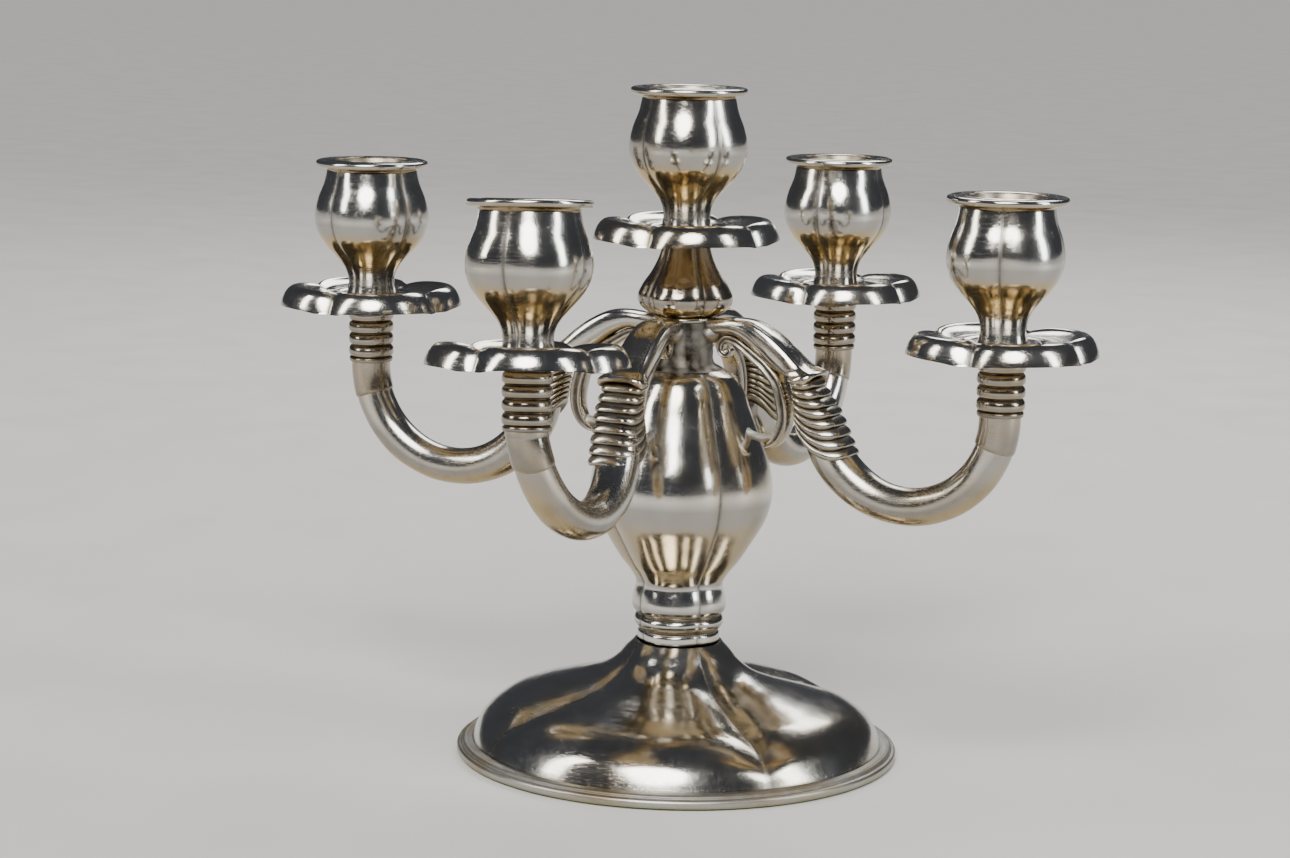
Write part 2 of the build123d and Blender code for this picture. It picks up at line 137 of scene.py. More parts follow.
# ---- floor, light and camera --------------------------------------------------------------------
FLOOR_R = 20.0                                       # metres
AZIMUTH, PITCH, ROLL = 25.5, 9.236, 1.07             # degrees
AIM, DISTANCE, LENS, SENSOR = (-11.765, 0.0, 103.65), 967.56, 86.0, 36.0
NEAREST, FURTHEST = 0.05, 60.0                       # what the camera sees, metres
LAMP_AIM = Vector((0, 0, 0.10))                      # metres
WORLD_COLOUR = (0.050, 0.054, 0.064)

# ---- colours in the silver ----------------------------------------------------------------------
# the first colour is painted shade on faces that look down; the second is a painted warm reflection
# there
UNDERSIDE_SHADE, UNDERSIDE_REFLECTION, SPOT = (0.22, 0.205, 0.185), (0.56, 0.41, 0.19), (0.42, 0.29, 0.13)
PATINA, GRIME = (0.035, 0.027, 0.020), (0.03, 0.025, 0.02)


# ---- curves and sections ------------------------------------------------------------------------
def curve(points, count, keys=2):
    """count rows along a smooth curve through the given rows, spaced by their first keys columns."""
    p = np.array(points, float)
    t = np.concatenate([[0.0], np.cumsum(np.linalg.norm(np.diff(p[:, :keys], axis=0), axis=1))])
    slope = np.gradient(p, t, axis=0)
    u = np.linspace(0, t[-1], count)
    i = np.clip(np.searchsorted(t, u, side="right") - 1, 0, len(t) - 2)
    h = (t[i + 1] - t[i])[:, None]
    s = (u[:, None] - t[i][:, None]) / h
    return ((2 * s**3 - 3 * s**2 + 1) * p[i] + (s**3 - 2 * s**2 + s) * h * slope[i]
            + (3 * s**2 - 2 * s**3) * p[i + 1] + (s**3 - s**2) * h * slope[i + 1])


def around(count):
    """count angles round a circle, in radians."""
    return np.arange(count) * 2 * pi / count


def at_level(values, level, width):
    """1 at a level, fading away on both sides of it over about a width."""
    return np.exp(-np.abs(values - level) / width)


def lobe(phi, depth):
    """Share of the crest radius at phi degrees past a valley: four round lobes, sharp valleys."""
    a = np.radians(phi % 90 - 45)
    c = (1 - (1 - depth) ** 2) / (2 - np.sqrt(2) * (1 - depth))
    return c * np.cos(a) + np.sqrt((1 - c) ** 2 - (c * np.sin(a)) ** 2)


def from_valley(phi):
    """Degrees from phi to the nearest valley."""
    return np.minimum(phi % 90, 90 - phi % 90)[None, :]


def uneven(p, size, seed):
    """Smooth hand-made unevenness from -1 to 1 at points p, with waves about size long."""
    rng = np.random.default_rng(seed)
    waves = 7
    total = 0
    for _ in range(waves):
        k = rng.normal(size=3)
        k *= 2 * pi / size * rng.uniform(0.6, 1.5) / np.linalg.norm(k)
        total = total + np.sin(p @ k + rng.uniform(0, 2 * pi))
    return total / waves


def lobed(rows, valley, centre=(0, 0), lift=0.0, per_lobe=40, dip=0.0):
    """Rings of a four-lobed body from (height, radius, depth) rows, and the grime in its valleys.
    dip lowers the surface in the valleys, most at the largest radius."""
    dip_spread, grime_most, grime_width, full_depth = 10, 0.75, 0.55, 0.07
    rows = np.array(rows, float)
    phi = np.arange(4 * per_lobe) * 90.0 / per_lobe
    z, radius, depth = (rows[:, k:k + 1] for k in range(3))
    r = radius * lobe(phi[None, :], depth)
    head = np.radians(valley + phi)[None, :]
    near = from_valley(phi)
    fall = dip * np.exp(-near / dip_spread) * np.clip(radius / radius.max(), 0, 1) ** 3
    p = np.stack([centre[0] + r * np.sin(head), centre[1] - r * np.cos(head),
                  z + lift - fall + 0 * r], axis=2)
    grime = np.exp(-radius * np.radians(near) / grime_width) * np.clip(depth / full_depth, 0, 1)
    return p, grime_most * grime


def turned(rows, centre=(0, 0), lift=0.0, count=160, wave=0.0, seed=0):
    """Rings of a turned body from (radius, height) rows. wave makes it uneven: heights by that
    much in long waves, radii by less in short ones."""
    rows = np.array(rows, float)
    head = around(count)
    r, z = rows[:, :1] + 0 * head, rows[:, 1:2] + 0 * head
    p = np.stack([r * np.sin(head), -r * np.cos(head), z + lift], axis=2)
    if wave:
        p[:, :, 2] += wave * uneven(p * (1, 1, 0.35), 17, seed)
        p[:, :, :2] *= 1 + (0.6 * wave * uneven(p, 9, seed + 1) / np.maximum(r, 1))[:, :, None]
    p[:, :, 0] += centre[0]
    p[:, :, 1] += centre[1]
    return p


def tipped(p, name, foot):
    """Points of a light, leaning about the foot of its ferrule if its arm is bent."""
    towards, lean = LEAN.get(name, (0.0, 0.0))
    hinge = Vector((cos(radians(towards)), sin(radians(towards)), 0))
    return (p - foot) @ np.array(Matrix.Rotation(radians(lean), 3, hinge)).T + foot


def bent(rings, amount, size, seed):
    """Rings moved sideways a little, as in a surface raised by hand."""
    rings[:, :, :2] += (amount * uneven(rings, size, seed))[:, :, None] * np.array([0.7, 0.7])
    return rings


def rough(rings, amount, size, seed):
    """Rings moved a little on a slant, as in cast or soldered metal."""
    return rings + uneven(rings, size, seed)[:, :, None] * amount


def swept(path, side, section):
    """Rings along a path. section(k) gives ring k's offsets (aside, outwards) as two arrays."""
    along = np.gradient(path, axis=0)
    along /= np.linalg.norm(along, axis=1)[:, None]
    out = np.cross(along, side)
    rings = []
    for k in range(len(path)):
        x, y = section(k)
        rings.append(path[k] + x[:, None] * side + y[:, None] * out[k])
    return np.array(rings)


def round_section(half, width, count=44, power=2.0):
    """Offsets of an oval; a power above 2 squares it off."""
    t = around(count)
    x, y = np.sin(t), np.cos(t)
    k = (np.abs(x) ** power + np.abs(y) ** power) ** (-1 / power)
    return width * x * k, half * y * k


def shell(rows, wall=WALL):
    """A profile's outside, then its inside a wall thickness in, as one closed loop of rows."""
    inner = rows[::-1].copy()
    inner[:, 1] -= wall
    return np.vstack([rows, inner])


def dished(rows):
    """The pan's upper side, then its underside: below the floor, inside the lip, both between."""
    under = np.array(rows[::-1], float)
    under[:, 0] -= np.where(under[:, 1] < PAN_LIP_R, PAN_T, 0)
    under[:, 1] -= np.where(under[:, 1] > PAN_FLOOR_R, PAN_T, 0)
    under[:, 0] = np.maximum(under[:, 0], rows[0][0])
    return np.vstack([rows, under])


# ---- making a piece -----------------------------------------------------------------------------
def make(name, rings, material, body, stands_for=(), loop=False, grime=None, crease=30):
    """A piece with a skin over its rings: capped at both ends, or with loop its last ring joined
    to its first."""
    m, n, _ = rings.shape
    i, j = np.meshgrid(np.arange(m if loop else m - 1), np.arange(n), indexing="ij")
    k, i2 = (j + 1) % n, (i + 1) % m
    quads = np.stack([i * n + j, i * n + k, i2 * n + k, i2 * n + j], axis=2).reshape(-1, 4)
    faces = quads.tolist()
    if not loop:
        faces += [list(range(n))[::-1], list(range((m - 1) * n, m * n))]
    mesh = bpy.data.meshes.new(name)
    mesh.from_pydata((rings.reshape(-1, 3) * MM).tolist(), [], faces)

    shape = bmesh.new()
    shape.from_mesh(mesh)
    bmesh.ops.recalc_face_normals(shape, faces=shape.faces)
    shape.to_mesh(mesh)
    shape.free()
    mesh.shade_smooth()
    mesh.set_sharp_from_angle(angle=radians(crease))

    level = np.zeros(m * n) if grime is None else np.clip(grime.reshape(-1), 0, 1)
    facing = np.zeros(m * n * 3, np.float32)
    mesh.vertex_normals.foreach_get("vector", facing)
    for key, values in (("grime", level), ("below", np.clip(-facing[2::3], 0, 1))):
        stored = mesh.attributes.new(key, "FLOAT", "POINT")
        stored.data.foreach_set("value", values.astype(np.float32))

    mesh.materials.append(material)
    piece = bpy.data.objects.new(name, mesh)
    bpy.context.scene.collection.objects.link(piece)
    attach(piece, body)
    if stands_for:
        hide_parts(*stands_for)


# ---- materials ----------------------------------------------------------------------------------
class Graph:
    """A material's nodes, with short ways to add and join them."""

    def __init__(self, name):
        self.material = bpy.data.materials.new(name)
        self.material.use_nodes = True
        self.tree = self.material.node_tree
        self.tree.nodes.clear()
        self.shader = self.tree.nodes.new("ShaderNodeBsdfPrincipled")
        output = self.tree.nodes.new("ShaderNodeOutputMaterial")
        self.tree.links.new(self.shader.outputs[0], output.inputs["Surface"])
        place = self.tree.nodes.new("ShaderNodeTexCoord")
        scale = self.tree.nodes.new("ShaderNodeMapping")
        scale.inputs["Scale"].default_value = (1 / MM, 1 / MM, 1 / MM)
        self.tree.links.new(place.outputs["Object"], scale.inputs["Vector"])
        self.mm = scale.outputs["Vector"]

    def put(self, socket, value):
        """Links a socket to a node's output, or sets it to a value."""
        if isinstance(value, bpy.types.NodeSocket):
            self.tree.links.new(value, socket)
        else:
            socket.default_value = value

    def noise(self, size, detail=4.0, rough=0.55, stretch=None, turn=(0, 0, 0)):
        """Noise from 0 to 1 with features about size mm across, drawn out where stretch is set."""
        vector = self.mm
        if stretch:
            m = self.tree.nodes.new("ShaderNodeMapping")
            m.inputs["Scale"].default_value = stretch
            m.inputs["Rotation"].default_value = turn
            self.put(m.inputs["Vector"], vector)
            vector = m.outputs["Vector"]
        n = self.tree.nodes.new("ShaderNodeTexNoise")
        self.put(n.inputs["Vector"], vector)
        self.put(n.inputs["Scale"], 1.0 / size)
        self.put(n.inputs["Detail"], detail)
        self.put(n.inputs["Roughness"], rough)
        return n.outputs["Fac"]

    def cells(self, size):
        """Distance from the middle of the nearest cell, with cells about size mm across."""
        n = self.tree.nodes.new("ShaderNodeTexVoronoi")
        self.put(n.inputs["Vector"], self.mm)
        self.put(n.inputs["Scale"], 1.0 / size)
        return n.outputs["Distance"]

    def level(self, value, low, high, to_low=0.0, to_high=1.0):
        """Maps low..high to to_low..to_high, clamped."""
        n = self.tree.nodes.new("ShaderNodeMapRange")
        for socket, v in zip(n.inputs[:5], (value, low, high, to_low, to_high)):
            self.put(socket, v)
        return n.outputs[0]

    def math(self, kind, a, b):
        """A sum, product or the like of two values."""
        n = self.tree.nodes.new("ShaderNodeMath")
        n.operation = kind
        self.put(n.inputs[0], a)
        self.put(n.inputs[1], b)
        return n.outputs[0]

    def mix(self, share, a, b):
        """Colour a with a share of colour b over it."""
        n = self.tree.nodes.new("ShaderNodeMix")
        n.data_type = "RGBA"
        self.put(n.inputs["Factor"], share)
        self.put(n.inputs["A"], (*a, 1) if isinstance(a, tuple) else a)
        self.put(n.inputs["B"], (*b, 1) if isinstance(b, tuple) else b)
        return n.outputs["Result"]

    def stored(self, name):
        """A value kept on the mesh: grime, or below, which is how much a face looks down."""
        n = self.tree.nodes.new("ShaderNodeAttribute")
        n.attribute_name = name
        return n.outputs["Fac"]

    def bump(self, height, depth, normal=None):
        """A bump depth mm high, over another one if normal is set."""
        n = self.tree.nodes.new("ShaderNodeBump")
        n.inputs["Distance"].default_value = depth * MM
        self.put(n.inputs["Height"], height)
        if normal is not None:
            self.put(n.inputs["Normal"], normal)
        return n.outputs["Normal"]


def silver(name, bright=(0.70, 0.68, 0.635), warm=(0.56, 0.445, 0.27), warmth=0.55, gloss=0.09,
           dull=0.0, dents=0.05, spots=0.5, warm_reflection=0.75):
    """Old polished silver: warm tarnish in clouds, painted shade and a painted warm reflection on
    its undersides, small spots, dark patina where grime is set, smudges, hairline scratches and slow
    dents."""
    g = Graph(name)
    cloud = g.noise(34, 5, 0.6)
    fine = g.noise(4.5, 6, 0.6)
    speck = g.noise(0.8, 3)
    tarnish = g.math("MULTIPLY", g.level(cloud, 0.42, 0.68), warmth)
    colour = g.mix(tarnish, bright, warm)
    # painted shade: faces that look even a little downwards are darkened, standing in for a dark
    # room reflected in them
    underside_shade = g.math("MULTIPLY", g.level(g.stored("below"), 0.0, 0.16), 0.62)
    colour = g.mix(underside_shade, colour, UNDERSIDE_SHADE)
    # painted reflection: faces that look further down take a warm gold tint, standing in for a warm
    # table reflected in them
    under = g.math("MULTIPLY", g.level(g.stored("below"), 0.30, 0.62), warm_reflection)
    colour = g.mix(under, colour, UNDERSIDE_REFLECTION)
    spot = g.math("MULTIPLY", g.level(g.cells(9.0), 0.16, 0.05),
                  g.level(fine, 0.48, 0.62, 0, spots))
    colour = g.mix(spot, colour, SPOT)
    dirt = g.math("MULTIPLY", g.stored("grime"), g.level(fine, 0.25, 0.6, 0.55, 1.0))
    colour = g.mix(dirt, colour, PATINA)
    g.put(g.shader.inputs["Base Color"], colour)
    g.shader.inputs["Metallic"].default_value = 1.0

    # three sets of hairlines, each drawn out along its own direction
    hair = None
    for turn, stretch in (((0.3, 0.2, 0.4), 0.09), ((1.1, 0.7, -0.9), 0.11),
                          ((-0.6, 1.3, 2.0), 0.13)):
        line = g.level(g.noise(1.0, 2, 0.5, (stretch, 3.2, 3.2), turn), 0.60, 0.68)
        hair = line if hair is None else g.math("MAXIMUM", hair, line)
    matt = g.level(g.noise(11, 6, 0.7), 0.35, 0.75, gloss + dull, gloss + dull + 0.13)
    for layer, share in ((hair, 0.09), (dirt, 0.34), (spot, 0.3)):
        matt = g.math("ADD", matt, g.math("MULTIPLY", layer, share))
    g.put(g.shader.inputs["Roughness"], matt)

    normal = g.bump(g.noise(15, 2, 0.4), dents)
    normal = g.bump(g.math("MULTIPLY", hair, -1.0), 0.004, normal)
    normal = g.bump(speck, 0.0012 + 0.02 * dull, normal)
    g.put(g.shader.inputs["Normal"], normal)
    return g.material


def plain(name, colour, other, size, matt, grain, depth, metallic=0.0, sheen=0.0):
    """A quieter material: two tones mixed in patches about size mm across, uneven roughness from
    matt up, and a grain depth mm deep."""
    g = Graph(name)
    tone = g.level(g.noise(size, 5, 0.6), 0.35, 0.65)
    colour = g.mix(tone, colour, other)
    g.put(g.shader.inputs["Base Color"],
          g.mix(g.math("MULTIPLY", g.stored("grime"), 0.85), colour, GRIME))
    g.shader.inputs["Metallic"].default_value = metallic
    g.shader.inputs["Sheen Weight"].default_value = sheen
    g.put(g.shader.inputs["Roughness"], g.level(g.noise(size / 2, 4), 0.3, 0.7, matt, matt + 0.2))
    g.put(g.shader.inputs["Normal"], g.bump(g.noise(grain, 4, 0.7), depth))
    return g.material


SILVER = silver("silver")
BOWL = silver("silver_bowl", warmth=0.45, spots=0.6, warm_reflection=1.0)
RIBBED = silver("silver_ribbed", bright=(0.64, 0.61, 0.55), warmth=0.7, gloss=0.13, spots=0.8)
SHADED = silver("silver_shaded", bright=(0.44, 0.40, 0.34), warm=(0.36, 0.25, 0.12), warmth=0.8,
                gloss=0.10, spots=0.9, warm_reflection=0.9)
INSIDE = silver("silver_inside", bright=(0.50, 0.46, 0.39), warm=(0.32, 0.24, 0.13), warmth=0.9,
                gloss=0.24, spots=1.0, dull=0.08)
FLANGE = silver("silver_flange", bright=(0.50, 0.49, 0.455), warm=(0.36, 0.27, 0.13), warmth=0.9,
                gloss=0.27, dull=0.06, spots=1.0)
SOLDER = silver("silver_solder", bright=(0.66, 0.65, 0.62), warmth=0.5, gloss=0.15, dents=0.5,
                dull=0.3, spots=0.8)
STEEL = plain("steel", (0.42, 0.41, 0.40), (0.24, 0.22, 0.20), 3.0, 0.32, 0.6, 0.01, metallic=1.0)
FILLING = plain("filling", (0.09, 0.075, 0.06), (0.15, 0.12, 0.09), 5.0, 0.65, 1.2, 0.12)
FELT = plain("felt", (0.025, 0.09, 0.045), (0.05, 0.14, 0.07), 2.2, 0.85, 0.35, 0.12, sheen=0.7)


# ---- foot and column ----------------------------------------------------------------------------
def make_foot():
    """Stepped edge, domed shell with a fold in each valley, and the filling inside it."""
    count = 300
    p = turned(curve(FLANGE_OUT, 60), count=count, wave=0.07, seed=11)
    inside = turned(FLANGE_IN, count=count)
    step = slice(30, 42)                             # rings in the groove between the two steps
    dark = np.zeros((len(p) + len(inside), count))
    dark[step] = 0.45
    make("base_flange_edge", np.vstack([p, inside]), FLANGE, "frame",
         ["base_flange"], loop=True, grime=dark)

    per_lobe = 80
    fold_width = 6.0
    p, dark = lobed(shell(curve(DOME, 90)), FOOT_VALLEY, per_lobe=per_lobe)
    phi = np.arange(4 * per_lobe) * 90.0 / per_lobe
    reach = np.linalg.norm(p[:, :, :2], axis=2)
    near = reach * np.radians(from_valley(phi))
    fold = np.interp(reach, [14, 20, 27, 45, 54, 61, 65], [0, 0.8, 2.4, 3.0, 2.0, 0.7, 0])
    p[:, :, 2] -= fold * np.exp(-(near / fold_width) ** 1.15)
    dark = dark * 0.8 + at_level(p[:, :, 2], DOME_FOOT_Z, 0.5) * 0.5
    make("base_dome_skin", bent(p, 0.10, 26, 21), SILVER, "frame", ["base_dome"],
         loop=True, grime=dark)

    p, _ = lobed(curve(FILLED, 40), FOOT_VALLEY)
    make("base_filling", rough(p, 0.3, 5, 25), FILLING, "frame", ["base_weight"])


def make_column():
    """Collar, baluster, soldered neck with its ring, and knop."""
    p, dark = lobed(curve(COLLAR, 60), BODY_VALLEY, per_lobe=44)
    p[:, :, 2] += 0.28 * uneven(p * (1, 1, 0.3), 19, 31)
    for groove, amount in ((36.5, 1.0), (40.2, 0.9), (45.1, 0.95)):
        dark += amount * np.exp(-((p[:, :, 2] - groove) / 0.5) ** 2)
    make("column_collar_rings", p, SILVER, "frame", ["column_collar"], grime=dark)

    p, dark = lobed(curve(BODY, 100), BODY_VALLEY, per_lobe=44)
    dark += 0.7 * at_level(p[:, :, 2], BODY_LOW, 0.5) + 0.5 * at_level(p[:, :, 2], BODY_TOP, 0.8)
    make("column_body_skin", bent(p, 0.09, 20, 41), SILVER, "frame", ["column_body"],
         grime=dark)

    p = turned(curve(NECK, 60), count=110, wave=0.20, seed=51)
    p = bent(bent(p, 0.45, 5, 54), 0.25, 2.6, 55)
    make("column_neck_skin", p, SOLDER, "frame", ["column_neck"],
         grime=0.70 + 0.8 * uneven(p * (1, 1, 0.3), 5, 52))

    p = turned(curve(NECK_RING, 30), count=110, wave=0.06, seed=53)
    make("neck_ring_bead", p, SILVER, "frame", ["neck_ring"],
         grime=0.7 * at_level(p[:, :, 2], RING_Z, 0.3))

    p, dark = lobed(curve(KNOP, 80), BODY_VALLEY, per_lobe=36)
    dark += 0.6 * at_level(p[:, :, 2], KNOP_LOW, 0.5)
    make("knop_skin", bent(p, 0.06, 15, 61), SHADED, "frame", ["knop"], grime=dark)


def make_felt():
    """Felt disc under the foot, its edge cut by hand."""
    count = 260
    cut = slice(0, 3)                                # rings of the cut edge
    over = turned(FELT_OVER, count=count)
    over[cut, :, :2] *= 1 + (0.0025 * uneven(over[cut], 6, 71))[:, :, None]
    make("felt_disc", np.vstack([over, turned(FELT_UNDER, count=count)]), FELT, "frame",
         ["felt_pad"], loop=True)


# ---- lights -------------------------------------------------------------------------------------
def thread(radius, low, high, centre, lift, pitch=1.0, depth=0.42):
    """Rings of a threaded rod, its crest line climbing round it, and the grime in its grooves."""
    z = np.arange(low, high, pitch / 9)
    head = around(48)
    turn = ((z[:, None] - low) / pitch - head[None, :] / (2 * pi)) % 1
    r = radius - depth * np.clip(np.abs(turn - 0.5) * 3.2 - 0.25, 0, 1)
    r = np.minimum(r, radius - 0.5 + (z[:, None] - low))
    p = np.stack([centre[0] + r * np.sin(head), centre[1] - r * np.cos(head),
                  z[:, None] + lift + 0 * r], axis=2)
    return p, 0.8 * np.clip((radius - r) / depth, 0, 1)


def make_light(name, centre, seat, seed):
    """Drip pan, nozzle cup with its rim and candle liner, and threaded stud of one light."""
    nozzle, screw = f"nozzle_{name}", f"screw_{name}"
    foot = np.array([*centre, FERRULE_LOW])
    hole = 7.6                                       # where the cup meets the pan
    p, dark = lobed(dished(curve(PAN_OVER, 84)), PAN_VALLEY[name], centre, seat, 52, dip=PAN_DIP)
    p[:, :, 2] = np.maximum(p[:, :, 2], seat + PAN_LOWEST)
    away = np.linalg.norm(p[:, :, :2] - centre, axis=2)
    dark += 0.5 * at_level(away, hole, 0.7)
    make(f"pan_{name}_leafed", tipped(bent(p, 0.10, 16, seed), name, foot), SILVER,
         "frame", [f"pan_{name}"], loop=True, grime=dark)

    outer = curve(CUP, 76)
    inner = outer[::-1][:50].copy()                  # down to the floor of the cup
    inner[:, 1] -= WALL
    p, dark = lobed(np.vstack([outer, inner, CUP_FLOOR]), CUP_VALLEY[name], centre, seat, 34)
    p, dark = np.vstack([p, p[:1]]), np.vstack([dark, dark[:1]])
    p[-1, :, :2] = (p[-1, :, :2] - centre) * 0.38 + centre     # the edge of the stud's hole
    z = p[:, :, 2] - seat
    dark += 0.35 * at_level(z, 4.5, 1.6) + 0.7 * at_level(z, 0.0, 0.5)
    make(f"cup_{name}_lobed", tipped(bent(p, 0.05, 14, seed + 1), name, foot), BOWL,
         nozzle, [f"cup_{name}"], loop=True, grime=dark)

    p = turned(curve(RIM, 56), centre, seat, 140, wave=0.10, seed=seed + 2)
    make(f"rim_{name}_flared", tipped(p, name, foot), SILVER, nozzle, [f"rim_{name}"],
         loop=True, grime=0.6 * at_level(p[:, :, 2] - seat, 40.0, 0.5))

    rows = np.vstack([curve(LINER_OUT, 40), curve(LINER_BORE, 50)])
    p = turned(rows, centre, seat, 110, wave=0.05, seed=seed + 3)
    low = np.clip((36 - (p[:, :, 2] - seat)) / 20, 0, 1)
    make(f"liner_{name}_tube", tipped(p, name, foot), INSIDE, nozzle,
         [f"liner_{name}"], loop=True, grime=0.55 * low)

    p, dark = thread(STUD_R, STUD_LOW, STUD_TOP, centre, seat)
    make(f"stud_{name}_threaded", tipped(p, name, foot), STEEL, screw, [f"stud_{name}"],
         grime=dark, crease=60)


# ---- arms ---------------------------------------------------------------------------------------
class Arm:
    """One arm: tube, fluted sleeve, leaf cap with a rolled lip, scroll, stub, solder, ferrule."""

    def __init__(self, name, heading, reach, sway, seed):
        a = radians(heading)
        self.radial, self.side = np.array([sin(a), -cos(a), 0.0]), np.array([cos(a), sin(a), 0.0])
        self.name, self.reach, self.sway, self.seed = name, reach, sway, seed
        self.foot = self.at(reach, FERRULE_LOW)

    def at(self, r, z, aside=0.0):
        """Points r out from the column's axis, z up and aside from the arm's plane."""
        r, z, aside = (np.asarray(v, float) for v in (r, z, aside))
        return (r[..., None] * self.radial + aside[..., None] * self.side
                + z[..., None] * np.array([0, 0, 1.0]))

    def bend(self, degrees):
        """Points of the tube's middle line, 0 to 180 degrees round its bend."""
        turn = np.radians(degrees)
        radius = (self.reach - SPRING_R) / 2
        return self.at(SPRING_R + radius * (1 - np.cos(turn)), SPRING_Z - radius * np.sin(turn),
                       self.sway * np.sin(turn))

    def leaning(self, p):
        """Points of the arm's end, leaning with its light."""
        return tipped(p, self.name, self.foot)

    def banded(self, rows, section):
        """Rings that span from an inner to an outer edge, and sway aside where the tube does."""
        rings = []
        for k, (r1, z1, r2, z2, width, *_) in enumerate(rows):
            near, far = self.at(r1, z1), self.at(r2, z2)
            x, y = section(k)
            turn = min(max((SPRING_Z - z1 / 2 - z2 / 2) * 1.9, 0), 90)
            aside = self.sway * sin(radians(turn))
            rings.append((near + far) / 2 + y[:, None] * (far - near) / 2
                         + (x * width + aside)[:, None] * self.side)
        return np.array(rings)

    def piece(self, part, rings, material, grime, node=None, crease=30):
        """A piece of this arm, in place of the CAD's node of that name if one is given."""
        stands_for = [f"arm_{self.name}_{node}"] if node else ()
        make(f"arm_{self.name}_{part}", rings, material, "frame", stands_for,
             grime=grime, crease=crease)

    def make_tube(self):
        """The bent tube, from inside the sleeve to inside the ferrule."""
        rows = curve(BEND, 90, keys=1)
        end = self.leaning(self.at([self.reach] * 3, [118.5, 121.0, 123.0]))
        path = np.vstack([self.bend(rows[:, 0]), end])
        half = np.concatenate([rows[:, 1], [TUBE_R] * 3])
        wide = half * np.interp(np.arange(len(half)), [0, 40, 93], [1.08, 1.03, 1.0])
        p = swept(path, self.side, lambda k: round_section(half[k], wide[k], 56, 2.1))
        p = rough(p, 0.07, 12, self.seed)
        low = np.clip(0.5 - (p[:, :, 2] - 92) / 14, 0, 0.25)
        self.piece("tube_bend", p, SILVER, low, "tube")

    def make_sleeve(self):
        """The ribbed sleeve over the upper end of the tube."""
        rows = curve(SLEEVE, RIBS * 18 + 1, keys=4)
        crest = np.abs(np.sin(pi * np.linspace(0, RIBS, len(rows)))) ** 0.5
        count = 88
        across, up = round_section(1.0, 1.0, count, 2.7)
        bead = 1 + 0.7 * np.exp(-((np.abs(around(count) - pi) - 2.55) / 0.22) ** 2)
        grow = (crest[:, None] * 1.25 - 0.75) * bead[None, :]      # out on a rib, in between two

        def section(k):
            r1, z1, r2, z2, width, _ = rows[k]
            span = 0.5 * np.hypot(r2 - r1, z2 - z1)
            return across * (1 + grow[k] / width), up * (1 + 0.8 * grow[k] / span)

        p = self.banded(rows, section)
        p[:, :, 2] -= rows[:, 5:6] * (1 - np.clip(up[None, :], -1, 1) ** 2)
        p = rough(p, 0.08, 7, self.seed + 1)
        dark = (0.98 * (1 - crest) ** 0.8)[:, None] + 0.06 + 0.12 * uneven(p, 9, self.seed + 2)
        self.piece("sleeve_fluted", p, RIBBED, dark, "sleeve", crease=70)

    def make_cap(self):
        """The leaf cap from the neck to its mouth, and the lip rolled round the mouth."""
        rows = curve(CAP, 64, keys=4)
        across, up = round_section(1.0, 1.0, 80, 2.9)
        ridge = 0.10 * np.exp(-((np.abs(across) - 0.84) / 0.09) ** 2) * (up > 0)
        p = self.banded(rows, lambda k: (across, up * (0.93 + ridge)))
        r1, z1, r2, z2, _ = rows[-1]
        mouth = self.at(r2, z2) - self.at(r1, z1)
        mouth /= np.linalg.norm(mouth)
        ahead = np.cross(self.side, mouth)
        away = across[:, None] * self.side + up[:, None] * mouth
        away /= np.linalg.norm(away, axis=1)[:, None]
        weight = (0.55 + 0.45 * np.clip(up + 0.5, 0, 1))[:, None]  # the lip is thinner below
        curl = 1 + 0.9 * np.clip(up - 0.5, 0, 1)[:, None]          # and rolls back on top
        lip = [p[-1] + away * a * weight * curl + ahead * (b * weight - 0.9 * (curl - 1) * b)
               for a, b in LIP]
        p = rough(np.vstack([p, np.array(lip)]), 0.06, 9, self.seed + 3)
        dark = np.zeros(p.shape[:2])
        dark[-3:] = 0.9                                            # inside the lip
        dark[:8] = np.linspace(0.8, 0.1, 8)[:, None]               # at the neck
        dark[:len(rows)] += 0.35 * np.exp(-((np.abs(across) - 0.70) / 0.05) ** 2) * (up > 0)
        self.piece("cap_leaf", p, SILVER, dark, "cap", crease=38)

    def make_scroll(self):
        """The strap under the cap, with a groove along its back."""
        rows = curve(SCROLL, 150)
        sections = []
        dark = []
        for _, _, half, width in rows:
            x, y = round_section(half, width, 48, 3.2)
            sections.append((x * (1 - 0.22 * np.exp(-(y / (0.28 * half + 0.1)) ** 2)), y))
            dark.append(0.9 * np.exp(-(y / (0.3 * half + 0.1)) ** 2) + 0.1)
        p = swept(self.at(rows[:, 0], rows[:, 1]), self.side, lambda k: sections[k])
        p = rough(p, 0.06, 6, self.seed + 4)
        self.piece("scroll_strap", p, RIBBED, np.array(dark), "scroll", crease=45)

    def make_joints(self):
        """The scroll's stub on the column's body, and the solder under the cap at the neck."""
        run = np.linspace(0, 1, 40)
        path = self.at(20.6 + 12.6 * run, 104.8 - 1.4 * run + 0.3 * np.sin(9 * run))
        thick = 1.25 + 0.9 * np.exp(-((run - 0.92) / 0.12) ** 2) + 0.7 * np.exp(-(run / 0.2) ** 2)
        p = swept(path, self.side, lambda k: round_section(thick[k], thick[k], 28))
        p = rough(p, 0.28, 3.2, self.seed + 5)
        self.piece("stub", p, SOLDER, 0.25 + 0.3 * uneven(p, 3, self.seed))

        run = np.linspace(0, 1, 26)
        path = self.at(7.6 + 5.4 * run, 135.6 - 0.6 * run)
        lump = 0.4 + 3.5 * np.sin(pi * run.clip(0.03, 0.97)) ** 0.5
        p = swept(path, self.side, lambda k: round_section(lump[k] * 0.85, lump[k] * 1.12, 34))
        p = rough(p, 0.42, 3.6, self.seed + 6)
        self.piece("solder", p, SOLDER, 0.25 + 0.35 * uneven(p, 3, self.seed))

